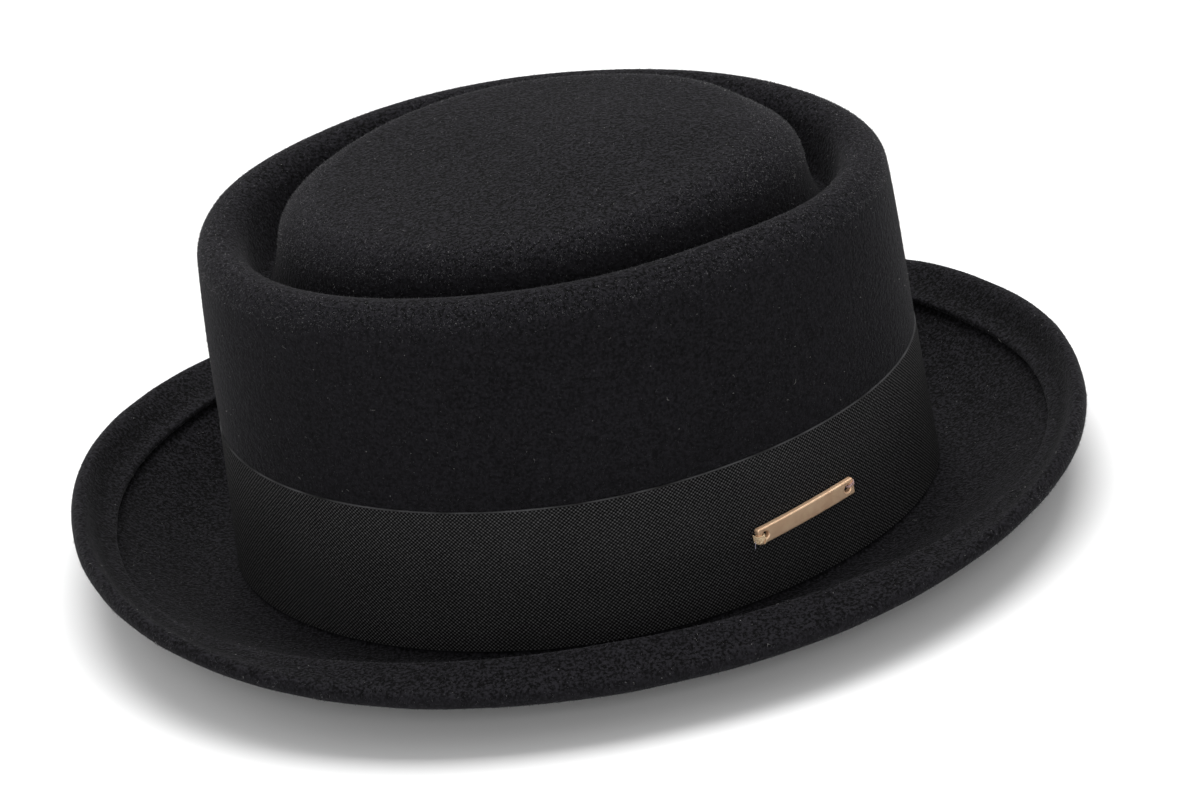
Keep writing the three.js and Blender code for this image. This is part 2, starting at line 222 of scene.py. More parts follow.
# %% Material helper
class Nodes:
    """Adds nodes to one material and links them."""

    def __init__(self, name):
        self.material = bpy.data.materials.new(name)
        self.material.use_nodes = True
        self.tree = self.material.node_tree
        self.shader = self.tree.nodes["Principled BSDF"]

    def add(self, kind, settings=None, **inputs):
        node = self.tree.nodes.new(kind)
        for key, value in (settings or {}).items():
            setattr(node, key, value)
        for key, value in inputs.items():
            self.put(node, key.replace("_", " "), value)
        return node

    def put(self, node, key, value):
        socket = node.inputs[int(key)] if key.isdigit() else node.inputs[key]
        if isinstance(value, bpy.types.NodeSocket):
            self.tree.links.new(value, socket)
        else:
            socket.default_value = value

    def math(self, operation, a, b=0.0, c=0.0):
        node = self.add("ShaderNodeMath", {"operation": operation})
        for k, value in enumerate((a, b, c)):
            self.put(node, str(k), value)
        return node.outputs[0]

    def grain(self, where, scale, detail, roughness):
        node = self.add(
            "ShaderNodeTexNoise", Vector=where, Scale=scale, Detail=detail, Roughness=roughness)
        return node.outputs["Fac"]

    def ramp(self, value, low, high):
        """Turns a value from low to high into one from 0 to 1."""
        node = self.add("ShaderNodeMapRange", Value=value, From_Min=low, From_Max=high)
        return node.outputs[0]

    def mix(self, share, first, second):
        node = self.add("ShaderNodeMix", {"data_type": "RGBA"})
        self.put(node, "0", share)
        self.put(node, "6", first)
        self.put(node, "7", second)
        return node.outputs[2]

    def kept_value(self, name):
        """Reads a number that keep_value wrote on the mesh."""
        return self.add("ShaderNodeAttribute", {"attribute_name": name}).outputs["Fac"]

    def in_object(self):
        return self.add("ShaderNodeTexCoord").outputs["Object"]

    def relief(self, height, depth, strength):
        bump = self.add("ShaderNodeBump", Strength=strength, Distance=depth, Height=height)
        self.put(self.shader, "Normal", bump.outputs[0])

    def finish(self, color, roughness, **others):
        self.put(self.shader, "Base Color", color)
        self.put(self.shader, "Roughness", roughness)
        for key, value in others.items():
            self.put(self.shader, key.replace("_", " "), value)
        return self.material


print("material helper ready")

# %% [markdown]
# ## The felt body
#
# The crown and brim of the real hat are steamed and pressed from one felt cone, so one smooth surface is
# right. The measured piece has the form already, in flat facets, and two rounds of subdivision round them
# off. The fold under the hem's lip is the one sharp line, so its edges are marked as creases first.

# %% Felt surface
FOLD_ANGLE = math.radians(-40)  # edges bent inwards by more than this are the fold under the lip
FOLD_CREASE = 0.9
FOLD_OUT = 120 * MM  # they all lie at least this far out, with the sides stretched as below
SIDE_STRETCH = 1.15  # brings the hat's sides about as far out as its front

bm = clean_copy("felt_body")
four_sided = sum(len(face.verts) == 4 for face in bm.faces)
print("felt facets:", len(bm.faces), "of which four-sided:", four_sided)
sharpness = bm.edges.layers.float.new("crease_edge")
folded = []
for edge in bm.edges:
    place = edge.verts[0].co
    far_out = math.hypot(place.x, place.y * SIDE_STRETCH) > FOLD_OUT
    if far_out and edge.calc_face_angle_signed(0) < FOLD_ANGLE:
        edge[sharpness] = FOLD_CREASE
        folded.append(edge)
fold_line = np.array([edge.verts[0].co for edge in folded])
felt_body = to_object(bm, "hat_felt")
subdivide(felt_body, 2)
bake_modifiers(felt_body)
print("fold edges:", len(folded), " felt surface:", len(felt_body.data.polygons), "faces")

# %% [markdown]
# The hem was turned in by hand, so its lip doesn't keep one distance from the brim's edge. It slides
# along the brim: out at the front and the back, and in on the far side. Directions are seen from above,
# counted from the front over the wearer's left. Felt near the fold slides with it, and less and less
# farther away.

# %% Course of the lip
LIP_SLIDES = {  # direction in degrees: outward slide in mm
    -180: 2.5, -165: 2.4, -150: 1.8, -135: 1.2, -120: 0.6, -60: 0.6, -25: 1.6, -8: 2.2, 6: 2.2, 15: 0.6,
    24: -1.8, 36: -2.6, 60: -2.4, 120: -2.6, 136: -3.2, 146: -2.0, 153: -0.2, 160: 1.4, 168: 2.3}
LIP_REACH = 7 * MM
BRIM_SLOPE = 0.3  # rise for each step outwards, near the fold
EVEN_OUT = 6  # each degree takes the mean of this many on both sides

turns = np.arange(-180, 180)
slides = np.interp(turns, list(LIP_SLIDES), list(LIP_SLIDES.values()), period=360)
slides = sum(np.roll(slides, k) for k in range(-EVEN_OUT, EVEN_OUT + 1)) / (2 * EVEN_OUT + 1)
felt_points = read_points(felt_body.data)
turn = np.degrees(np.arctan2(felt_points[:, 1], felt_points[:, 0]))
radius = np.hypot(felt_points[:, 0], felt_points[:, 1])
fold_turn = np.degrees(np.arctan2(fold_line[:, 1], fold_line[:, 0]))
fold_radius = np.interp(turn, fold_turn, np.hypot(fold_line[:, 0], fold_line[:, 1]), period=360)
slide = np.interp(turn, turns, slides, period=360) * MM
slide *= np.exp(-((radius - fold_radius) / LIP_REACH) ** 2)
felt_points[:, :2] += felt_points[:, :2] / radius[:, None] * slide[:, None]
felt_points[:, 2] += BRIM_SLOPE * slide
write_points(felt_body.data, felt_points)
print("lip slides from", round(slide.min() / MM, 1), "to", round(slide.max() / MM, 1), "mm")

# %% [markdown]
# Pressed felt is never quite even. The surface gets broad, shallow waves all over, shorter ones along the
# hem where a hand has turned the edge, and a few places where a hand has pushed it. A sculpted map would
# do this too, but smooth noise needs a few lines only and is the same on every run. The felt also swells
# by the little that subdivision took away, but not under the ribbon, which is pulled tight. Waves and
# swelling stop above the floor.

# %% Uneven felt
WAVE = {"height": 0.28 * MM, "length": 45 * MM}
HEM_WAVE = {"height": 0.16 * MM, "length": 13 * MM}
SWELL = 0.3 * MM
CROWN_FOOT = 108 * MM  # beyond this half-length the felt is brim
BRIM_BLEND = 20 * MM  # and it is all brim when it lies this much farther out
RIBBON_BLEND = 2 * MM  # felt is bare when it lies this much above the ribbon
STILL_BELOW = 4 * MM  # felt that touches the floor stays flat
ribbon_low, ribbon_high = (Vector(corner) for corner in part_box("ribbon_band"))
# where a hand has pushed the felt, by how much, and how far that reaches, in mm
PUSHED = [
    {"at": (50, -58, 107), "by": (0.0, 0.8, 1.2), "reach": 30},
    {"at": (-80, 34, 106), "by": (-1.0, 0.8, 0.6), "reach": 26},
    {"at": (-54, 22, 113), "by": (0.5, -0.6, -1.2), "reach": 24},
    {"at": (64, 18, 115), "by": (-0.3, -0.9, -1.1), "reach": 16},
    {"at": (115, 72, 24), "by": (0.3, 0.3, 0.8), "reach": 22},
]


def waves(points, length, seed):
    """Smooth uneven values between -1 and 1, the same on every run."""
    return np.array([noise.noise(Vector(point) / length + Vector((seed, 0, 0))) for point in points])


felt_points = read_points(felt_body.data)
felt_normals = read_normals(felt_body.data)
out = np.hypot(felt_points[:, 0], felt_points[:, 1] * SIDE_STRETCH)
on_brim = np.clip((out - CROWN_FOOT) / BRIM_BLEND, 0, 1)
above_ribbon = np.clip((felt_points[:, 2] - ribbon_high.z) / RIBBON_BLEND, 0, 1)
bare = np.maximum(on_brim, above_ribbon)
lift = SWELL * bare
lift += WAVE["height"] * waves(felt_points, WAVE["length"], 3.1) * bare
lift += on_brim * HEM_WAVE["height"] * waves(felt_points, HEM_WAVE["length"], 7.7)
lift *= np.clip((felt_points[:, 2] - STILL_BELOW) / STILL_BELOW, 0, 1)
felt_points += felt_normals * lift[:, None]
for place in PUSHED:
    away = np.linalg.norm(felt_points - np.array(place["at"]) * MM, axis=1) / (place["reach"] * MM)
    felt_points += np.exp(-away[:, None] ** 2) * np.array(place["by"]) * MM
write_points(felt_body.data, felt_points)
print("felt moved by up to", round(abs(lift).max() / MM, 2), "mm and by", len(PUSHED), "pushes")

# %% [markdown]
# ### Crests and hollows of the felt
#
# Nap catches the light first where the felt bends outwards: the rim's crest, the table's edge and the
# hem. A point that stands above the mean of its neighbours is on such a crest, and one that lies below it
# is in a hollow, such as under the lip. The felt is paler on the crests, partly for worn nap and partly
# as a painted highlight, and darker in the brim's hollows, which is painted shade. Felt that lies level
# shows more of its mottle. These three are measured once on the mesh and kept as attributes for the
# material, and the loose fibres use the crests too.


# %% Crest attribute
def measure_crest(mesh, rounds):
    points = read_points(mesh)
    normals = read_normals(mesh)
    edges = np.empty(len(mesh.edges) * 2, dtype=np.int64)
    mesh.edges.foreach_get("vertices", edges)
    first, second = edges.reshape(-1, 2).T
    count = np.bincount(edges, minlength=len(points)).astype(float)

    def neighbour_mean(values):
        total = np.zeros_like(values)
        np.add.at(total, first, values[second])
        np.add.at(total, second, values[first])
        return total / (count[:, None] if values.ndim == 2 else count)

    gaps = np.linalg.norm(points[first] - points[second], axis=1)
    spread = np.zeros(len(points))
    np.add.at(spread, first, gaps)
    np.add.at(spread, second, gaps)
    spread /= count
    bend = np.einsum("ij,ij->i", points - neighbour_mean(points), normals) / spread ** 2
    for _ in range(rounds):
        bend = 0.5 * bend + 0.5 * neighbour_mean(bend)
    return bend


FULL_CREST = 0.95  # the share of the felt that is less bent than a crest at its palest
FULL_HOLLOW = 20.0  # bend, in 1/m, at which a hollow's painted shade is at its darkest
CREST_ROUNDS = 4  # how often the bend is evened out
HOLLOW_ROUNDS = 14
bend = measure_crest(felt_body.data, CREST_ROUNDS)
# paler crests: partly worn nap, partly a painted highlight
crest = np.clip(bend / np.quantile(bend, FULL_CREST), 0, 1)
# darker hollows of the brim, deepest under the hem's lip: painted shade
hollow = np.clip(-measure_crest(felt_body.data, HOLLOW_ROUNDS) / FULL_HOLLOW, 0, 1) * on_brim
level = np.clip(read_normals(felt_body.data)[:, 2], 0, 1)
keep_value(felt_body.data, "crest", crest)
keep_value(felt_body.data, "hollow", hollow)
keep_value(felt_body.data, "level", level)
print("share of the felt on a crest:", round(float((crest > 0.5).mean()), 3))

# %% [markdown]
# ### The felt's finish
#
# Felt has no weave: it is short dyed wool matted in all directions, with a brushed nap on top. The colour
# is a near black with a fine mottle. It is a little paler on the crests, partly for worn nap and partly as
# a painted highlight, and darker in the brim's hollows, which is painted shade. A bump of two grains gives
# the matted surface, and sheen gives the pale bloom that nap shows at a grazing angle.


# %% Felt material
FELT_DARK = (0.0006, 0.0006, 0.0007, 1)
FELT_PALE = (0.0133, 0.0127, 0.0152, 1)
FELT_GRAINS = {"matted": 1150, "mottle": 480, "cloud": 24}  # grains in a metre
# the crest tone is partly worn nap and partly a painted highlight, the hollow tone is painted shade
FELT_TONE = {"start": 0.32, "mottle": 0.18, "cloud": 0.1, "crest": 0.22, "hollow": -0.6}
SPECKLE = {"upright": 0.42, "more_if_level": 0.7}  # contrast of the matted grain
FELT_RELIEF = 0.45 * MM


def felt_material():
    nodes = Nodes("brushed_felt")
    where = nodes.in_object()
    matted = nodes.grain(where, FELT_GRAINS["matted"], 2.0, 0.6)
    mottle = nodes.grain(where, FELT_GRAINS["mottle"], 3.0, 0.6)
    cloud = nodes.grain(where, FELT_GRAINS["cloud"], 2.0, 0.5)
    contrast = nodes.math(
        "MULTIPLY_ADD", nodes.kept_value("level"), SPECKLE["more_if_level"], SPECKLE["upright"])
    speckle = nodes.math("SUBTRACT", nodes.ramp(matted, 0.40, 0.62), 0.5)
    tone = nodes.math("MULTIPLY_ADD", speckle, contrast, FELT_TONE["start"])
    # crests painted paler (worn nap and painted highlight), hollows painted darker (painted shade)
    parts = {
        "mottle": nodes.ramp(mottle, 0.36, 0.64),
        "cloud": nodes.ramp(cloud, 0.3, 0.7),
        "crest": nodes.kept_value("crest"),
        "hollow": nodes.kept_value("hollow"),
    }
    for name, value in parts.items():
        tone = nodes.math("MULTIPLY_ADD", value, FELT_TONE[name], tone)
    color = nodes.mix(nodes.math("MAXIMUM", tone, 0.0), FELT_DARK, FELT_PALE)
    nodes.relief(nodes.math("MULTIPLY_ADD", mottle, 0.8, matted), FELT_RELIEF, 1.0)
    return nodes.finish(
        color, 0.95, Specular_IOR_Level=0.1,
        Sheen_Weight=0.035, Sheen_Roughness=0.3, Sheen_Tint=(0.95, 0.95, 1.0, 1))


felt_body.data.materials.clear()
felt_body.data.materials.append(felt_material())
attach(felt_body, "root")
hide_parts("felt_body")
print("felt dressed")

# %% [markdown]
# ### The nap
#
# Brushed felt is covered with short loose fibres, most of them lying down. Each one here is a tiny
# three-sided spike, and many thousands of them make each mesh. They are planted only where the felt is
# open to the air: a face counts as open if nothing is above it, or nothing is beside it on its outer
# side. Hair particles would look alike, but a mesh made from arrays exports as it is, and a seed makes it
# the same on every run.


# %% Open faces
ABOVE_FACE = 0.4 * MM  # where a ray starts
ABOVE_FLOOR = 2 * MM  # nothing is planted lower down


def find_open_faces(piece):
    mesh = piece.data
    tree = BVHTree.FromPolygons(
        [vert.co for vert in mesh.vertices], [tuple(face.vertices) for face in mesh.polygons])
    found = np.zeros(len(mesh.polygons), dtype=bool)
    for k, face in enumerate(mesh.polygons):
        start = face.center + face.normal * ABOVE_FACE
        outward = Vector((face.center.x, face.center.y, 0)).normalized()
        upward = tree.ray_cast(start, Vector((0, 0, 1)))[0]
        beside = tree.ray_cast(start, outward)[0]
        found[k] = (upward is None or beside is None) and start.z > ABOVE_FLOOR
    return found


open_faces = find_open_faces(felt_body)
print("open faces:", int(open_faces.sum()), "of", len(open_faces))

# %% [markdown]
# A fibre leans well over and its tip bends a little towards the floor, as brushed nap does. Crests get
# more of them, and an extra row of them along the crests is palest of all, a painted highlight for the
# light that the crests catch. Every fibre keeps a random shade, and a few in a thousand are almost white.


# %% Nap
FIBRE = {"short": 0.35 * MM, "long": 1.15 * MM, "root": 0.05 * MM, "sunk": 0.05 * MM}
LEAN_LEAST, LEAN_MOST = 20, 82  # degrees from upright
DROOP = 0.7  # how much the fibres tend towards the floor
ALMOST_WHITE = 0.004  # share of the fibres
MORE_ON_CRESTS = 1.5
TRIANGLE = (0, 2 * math.pi / 3, 4 * math.pi / 3)  # a three-sided section


def scatter(mesh, faces, count, rng):
    """Random places on some faces, with their normals, more of them on crests."""
    mesh.calc_loop_triangles()
    corners = np.empty(len(mesh.loop_triangles) * 3, dtype=np.int64)
    owners = np.empty(len(mesh.loop_triangles), dtype=np.int64)
    mesh.loop_triangles.foreach_get("vertices", corners)
    mesh.loop_triangles.foreach_get("polygon_index", owners)
    corners = corners.reshape(-1, 3)[faces[owners]]
    points, normals = read_points(mesh), read_normals(mesh)
    a, b, c = (points[corners[:, k]] for k in range(3))
    weight = np.linalg.norm(np.cross(b - a, c - a), axis=1)
    weight *= 1 + MORE_ON_CRESTS * crest[corners].mean(axis=1)
    chosen = rng.choice(len(corners), size=count, p=weight / weight.sum())
    share = rng.dirichlet((1, 1, 1), size=count)
    place = np.einsum("ij,ijk->ik", share, points[corners[chosen]])
    normal = np.einsum("ij,ijk->ik", share, normals[corners[chosen]])
    return place, normal / np.linalg.norm(normal, axis=1)[:, None]


def grow_nap(name, faces, count, seed, paleness):
    rng = np.random.default_rng(seed)
    place, normal = scatter(felt_body.data, faces, count, rng)
    lying = rng.normal(size=(count, 3)) + np.array([0.0, 0.0, -DROOP])
    lying -= normal * np.einsum("ij,ij->i", lying, normal)[:, None]
    lying /= np.linalg.norm(lying, axis=1)[:, None]
    lean = np.radians(rng.uniform(LEAN_LEAST, LEAN_MOST, size=(count, 1)))
    along = normal * np.cos(lean) + lying * np.sin(lean)
    length = rng.beta(1.3, 4.0, size=(count, 1))  # most are nearly as short as the shortest
    length = FIBRE["short"] + (FIBRE["long"] - FIBRE["short"]) * length
    side = np.cross(along, normal)
    side /= np.linalg.norm(side, axis=1)[:, None]
    third = np.cross(along, side)
    root = place - normal * FIBRE["sunk"]
    ring = [
        root + FIBRE["root"] * (math.cos(turn) * side + math.sin(turn) * third)
        for turn in TRIANGLE]
    points = np.stack([*ring, root + along * length], axis=1).reshape(-1, 3)
    first = np.arange(count)[:, None] * 4
    spikes = np.concatenate([first + corners for corners in ([0, 1, 3], [1, 2, 3], [2, 0, 3], [2, 1, 0])])
    # a pale shade is a painted highlight for a fibre that catches the light; the almost white ones are
    # pale fibres
    shade = rng.beta(1.2, 4.0, size=count)
    shade[rng.random(count) < ALMOST_WHITE] = 1.0
    shade = np.minimum(shade * paleness, 1.0)
    return arrays_to_piece(name, points, spikes, np.repeat(shade, 4))


def arrays_to_piece(name, points, faces, shade):
    mesh = bpy.data.meshes.new(name)
    mesh.from_pydata(points.tolist(), [], faces.tolist())
    keep_value(mesh, "shade", shade)
    mesh.update()
    piece = bpy.data.objects.new(name, mesh)
    scene.collection.objects.link(piece)
    return piece


print("fibres up to", FIBRE["long"] / MM, "mm long")

# %% [markdown]
# The wall of a worn or handled hat keeps less loose nap than its top and its brim. So the felt is sorted
# into four parts, each with its own number of fibres and its own paleness, in a table that is easy to
# change. The paleness sets how much painted highlight the fibres get: least on the wall and most in the
# extra row along the crests.

# %% Plant the nap
TOP_ABOVE = 97 * MM
CREST_FACES = 0.86  # the share of the faces that are too flat for the extra row

face_middles = np.array([face.center for face in felt_body.data.polygons])
face_crest = np.array([crest[list(face.vertices)].mean() for face in felt_body.data.polygons])
on_brim_face = np.hypot(face_middles[:, 0], face_middles[:, 1] * SIDE_STRETCH) > CROWN_FOOT
on_top = ~on_brim_face & (face_middles[:, 2] > TOP_ABOVE)
on_wall = ~on_brim_face & ~on_top & (face_middles[:, 2] > ribbon_high.z)
on_crest = face_crest > np.quantile(face_crest, CREST_FACES)
# paleness is how much painted highlight the fibres get, most on the crest row
PLANTED = [
    {"name": "nap_wall", "where": on_wall, "count": 36000, "seed": 11, "paleness": 0.6},
    {"name": "nap_top", "where": on_top, "count": 49000, "seed": 12, "paleness": 1.0},
    {"name": "nap_brim", "where": on_brim_face, "count": 49000, "seed": 13, "paleness": 0.85},
    {"name": "nap_crest", "where": on_crest, "count": 24000, "seed": 14, "paleness": 1.7},
]
naps = [
    grow_nap(row["name"], open_faces & row["where"], row["count"], row["seed"], row["paleness"])
    for row in PLANTED]
print("nap:", [len(nap.data.polygons) for nap in naps], "triangles")

# %% [markdown]
# Each fibre is dyed as the felt is, but it stands up into the light, so some of them look pale: that
# paleness is a painted highlight, and only the few almost white fibres are pale of their own. One
# material for all of them reads each fibre's shade, and most stay almost as dark as the felt.


# %% Nap material
FIBRE_DARK = (0.006, 0.006, 0.007, 1)
# the pale end is a painted highlight, and the almost white fibres' own colour
FIBRE_HIGHLIGHT_AND_PALE = (0.23, 0.225, 0.235, 1)
MOSTLY_DARK = 1.4  # above 1, more of the fibres stay dark


def nap_material():
    nodes = Nodes("loose_fibres")
    pale = nodes.math("POWER", nodes.kept_value("shade"), MOSTLY_DARK)
    color = nodes.mix(pale, FIBRE_DARK, FIBRE_HIGHLIGHT_AND_PALE)
    return nodes.finish(color, 0.8, Specular_IOR_Level=0.2)


fibre_finish = nap_material()
for nap in naps:
    nap.data.materials.append(fibre_finish)
    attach(nap, "root")
print("nap dressed")

# %% [markdown]
# ### Lint
#
# Black felt shows every bit of lint. Hundreds of pale specks and some short curled threads lie on it. A
# curl is a thin three-sided tube along a wavy line close to the surface, a speck is a very short and
# straight one, and all of them are made at once from arrays.


# %% Lint
CURLS = {"count": 110, "length": (0.6, 1.7), "wave": (0.1, 0.35), "thick": (0.02, 0.035)}  # in mm
SPECKS = {"count": 900, "length": (0.10, 0.28), "thick": (0.05, 0.11)}


def grow_lint(name, seed):
    rng = np.random.default_rng(seed)
    curls, specks = CURLS["count"], SPECKS["count"]
    count = curls + specks
    place, normal = scatter(felt_body.data, open_faces, count, rng)
    along = np.cross(normal, rng.normal(size=normal.shape))
    along /= np.linalg.norm(along, axis=1)[:, None]
    across = np.cross(normal, along)
    steps = 7
    length = [rng.uniform(*CURLS["length"], curls), rng.uniform(*SPECKS["length"], specks)]
    length = np.concatenate(length) * MM
    wave = np.concatenate([rng.uniform(*CURLS["wave"], curls), np.zeros(specks)]) * MM
    thick = [rng.uniform(*CURLS["thick"], curls), rng.uniform(*SPECKS["thick"], specks)]
    thick = np.concatenate(thick) * MM
    turn = rng.uniform(0, 2 * math.pi, count)
    rings = []
    for k in range(steps + 1):
        share = k / steps
        swing = wave * np.sin(turn + 4.5 * share)
        middle = place + (along * (length * (share - 0.5))[:, None]) + across * swing[:, None]
        middle += normal * (thick + 0.25 * wave * math.sin(math.pi * share))[:, None]
        slim = thick * (0.35 + 0.65 * math.sin(math.pi * min(max(share, 0.08), 0.92)))
        for corner in TRIANGLE:
            rings.append(middle + (normal * math.cos(corner) + across * math.sin(corner)) * slim[:, None])
    points = np.stack(rings, axis=1).reshape(-1, 3)
    size = 3 * (steps + 1)
    first = np.arange(count)[:, None] * size
    faces = [first + [2, 1, 0], first + [size - 3, size - 2, size - 1]]
    for k in range(steps):
        for a, b in ((0, 1), (1, 2), (2, 0)):
            low, high = 3 * k, 3 * k + 3
            faces.append(first + [low + a, low + b, high + b])
            faces.append(first + [low + a, high + b, high + a])
    shade = rng.uniform(0.35, 1.0, size=count)
    return arrays_to_piece(name, points, np.concatenate(faces), np.repeat(shade, size))


LINT_DARK = (0.06, 0.06, 0.06, 1)
LINT_PALE = (0.42, 0.41, 0.40, 1)


def lint_material():
    nodes = Nodes("pale_lint")
    color = nodes.mix(nodes.kept_value("shade"), LINT_DARK, LINT_PALE)
    return nodes.finish(color, 0.9, Specular_IOR_Level=0.1)


lint = grow_lint("lint", 21)
lint.data.materials.append(lint_material())
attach(lint, "root")
print("lint:", len(lint.data.polygons), "triangles")

# %% [markdown]
# ## The ribbon
#
# The band is a flat woven ribbon with a firm edge, the selvage, along its top and bottom. A new sheet
# could be bent round the crown, but the measured ring has the right course already, so a copy of it is
# smoothed. Two cuts near each edge keep the edges crisp under subdivision.

# %% Ribbon surface
SELVAGE = 0.28 * MM
EDGE_CUTS = (1.0, 2.5)  # distance from the edge, in selvages
RIBBON_SINK = 0.4 * MM  # the real ribbon is thinner and lies tight on the felt

bm = clean_copy("ribbon_band")
for edge in (ribbon_low.z, ribbon_high.z):
    into = 1 if edge == ribbon_low.z else -1
    for depth in EDGE_CUTS:
        every = list(bm.verts) + list(bm.edges) + list(bm.faces)
        up = edge + into * depth * SELVAGE
        bmesh.ops.bisect_plane(bm, geom=every, plane_co=(0, 0, up), plane_no=(0, 0, 1))
ribbon = to_object(bm, "ribbon")
subdivide(ribbon, 2)
bake_modifiers(ribbon)
ribbon_points = read_points(ribbon.data)
inward = ribbon_points * (-1, -1, 0)
ribbon_points += inward / np.linalg.norm(inward, axis=1)[:, None] * RIBBON_SINK
write_points(ribbon.data, ribbon_points)
print("ribbon:", len(ribbon.data.polygons), "faces")

# %% [markdown]
# Then the ribbon is unrolled: each corner's place along and across the ribbon, in metres, is kept as its
# UV map, so that the weave follows the ribbon round the crown without stretching.


# %% Unroll the ribbon
def unroll(piece, name):
    """Writes a UV map in metres: u along the ribbon from the wearer's left, v up from its lower edge."""
    mesh = piece.data
    points = read_points(mesh)
    turn = np.arctan2(points[:, 1], points[:, 0])
    steps = np.linspace(-math.pi, math.pi, 721)
    half = (ribbon_high - ribbon_low) / 2
    oval = np.column_stack([half.x * np.cos(steps), half.y * np.sin(steps)])
    angles = np.unwrap(np.arctan2(oval[:, 1], oval[:, 0]))
    length = np.concatenate([[0], np.cumsum(np.linalg.norm(np.diff(oval, axis=0), axis=1))])
    along = np.interp(turn, angles, length)
    layer = mesh.uv_layers.new(name=name)
    for face in mesh.polygons:
        spread = [along[k] for k in face.vertices]
        wraps = max(spread) - min(spread) > length[-1] / 2
        for loop, vertex in zip(face.loop_indices, face.vertices):
            u = along[vertex]
            if wraps and u < length[-1] / 2:
                u += length[-1]
            layer.data[loop].uv = (u, points[vertex][2] - ribbon_low.z)
    return length[-1]


ribbon_length = unroll(ribbon, "unrolled")
print("ribbon:", round(ribbon_length / MM), "mm round")

# %% [markdown]
# ### The weave
#
# The ribbon is a fine, matt plain weave: each thread goes over one crossing thread and under the next, so
# raised and sunk crossings alternate like a chessboard, and from afar its diagonals show as fine slanting
# lines. Threads of their own would cross some seventy thousand times, far too often to model. Two waves
# multiplied, one along and one across the ribbon, give just that pattern. The threads are a little
# uneven. The selvage has no pattern: it is a thin cord, paler in long patches, and that paleness is a
# painted highlight for the light that its edge catches.


# %% Ribbon material
WARP = 0.60 * MM  # from one lengthwise place to the next
WEFT = 0.56 * MM  # and from one crosswise thread to the next
CLOTH_DARK = (0.0002, 0.0002, 0.0002, 1)
CLOTH_PALE = (0.092, 0.091, 0.093, 1)
EDGE_DARK = (0.018, 0.018, 0.018, 1)
# the selvage's paler patches are a painted highlight for the light its edge catches
EDGE_HIGHLIGHT = (0.09, 0.09, 0.094, 1)
WEAVE_RELIEF = 0.14 * MM
ribbon_width = ribbon_high.z - ribbon_low.z


def weave_material():
    nodes = Nodes("woven_ribbon")
    place = nodes.add("ShaderNodeUVMap", {"uv_map": "unrolled"}).outputs[0]
    split = nodes.add("ShaderNodeSeparateXYZ", Vector=place)
    along, up = split.outputs[0], split.outputs[1]
    uneven = nodes.grain(place, 500.0, 2.0, 0.5)

    def thread_wave(way, spacing, wobble):
        value = nodes.math("MULTIPLY", way, math.pi / spacing)
        return nodes.math("SINE", nodes.math("MULTIPLY_ADD", uneven, wobble, value))

    crossings = nodes.math("MULTIPLY", thread_wave(along, WARP, 1.6), thread_wave(up, WEFT, -1.6))
    weave = nodes.math("MULTIPLY_ADD", crossings, 0.5, 0.5)
    from_edge = nodes.math("MINIMUM", nodes.math("SUBTRACT", ribbon_width, up), up)
    cord = nodes.ramp(from_edge, SELVAGE, 0.7 * SELVAGE)
    dust = nodes.grain(nodes.in_object(), 60.0, 3.0, 0.6)
    yarn = nodes.ramp(nodes.grain(place, 1300.0, 1.0, 0.5), 0.38, 0.62)
    tone = nodes.math("MULTIPLY_ADD", yarn, 0.6, 0.6)
    tone = nodes.math("MULTIPLY", nodes.math("POWER", weave, 2.6), tone)
    tone = nodes.math("MULTIPLY_ADD", nodes.ramp(dust, 0.3, 0.7), 0.03, tone)
    cloth = nodes.mix(tone, CLOTH_DARK, CLOTH_PALE)
    # paler patches along the selvage: painted highlight
    edge_highlight = nodes.ramp(nodes.grain(place, 45.0, 2.0, 0.6), 0.40, 0.66)
    edge = nodes.mix(edge_highlight, EDGE_DARK, EDGE_HIGHLIGHT)
    raised = nodes.math("MULTIPLY", weave, nodes.math("SUBTRACT", 1.0, cord))
    nodes.relief(raised, WEAVE_RELIEF, 0.7)
    return nodes.finish(nodes.mix(cord, cloth, edge), 0.85, Specular_IOR_Level=0.03)


ribbon.data.materials.clear()
ribbon.data.materials.append(weave_material())
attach(ribbon, "root")
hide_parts("ribbon_band")
print("ribbon dressed")

# %% [markdown]
# ## The metal bar
#
# The bar is a small stamped plate, bent to the crown, with a hole near each end for thread. Smoothing the
# measured bar would pinch it round the holes, so it is drawn anew. The measured bar gives its place, its
# three directions and its bend.

# %% Measure the bar
BAR_HOLE = 1.1 * MM
HOLE_INSET = 2.4 * MM
BAR_THICKNESS = 1.8 * MM
BAR_SINK = RIBBON_SINK  # the bar lies on the ribbon
bar_points = read_points(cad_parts["metal_bar"].data)
bar_middle = bar_points.mean(axis=0)
_, _, directions = np.linalg.svd(bar_points - bar_middle, full_matrices=False)
bar_along = Vector(directions[0])
bar_along *= math.copysign(1, bar_along.x)
bar_out = Vector(directions[2])
bar_out *= math.copysign(1, bar_out.dot(Vector(bar_middle)))
bar_up = bar_out.cross(bar_along)
bar_axes = Matrix((bar_along, bar_up, bar_out)).transposed()
bar_local = (bar_points - bar_middle) @ np.array(bar_axes)
bar_half = np.abs(bar_local[:, :2]).max(axis=0)
print("bar, mm:", [round(float(2 * value / MM), 2) for value in bar_half])

# %% [markdown]
# The bend is found from the back of the measured bar: its ends lie lower than its middle by the height of
# an arc, and that height and the bar's half length give the arc's radius.

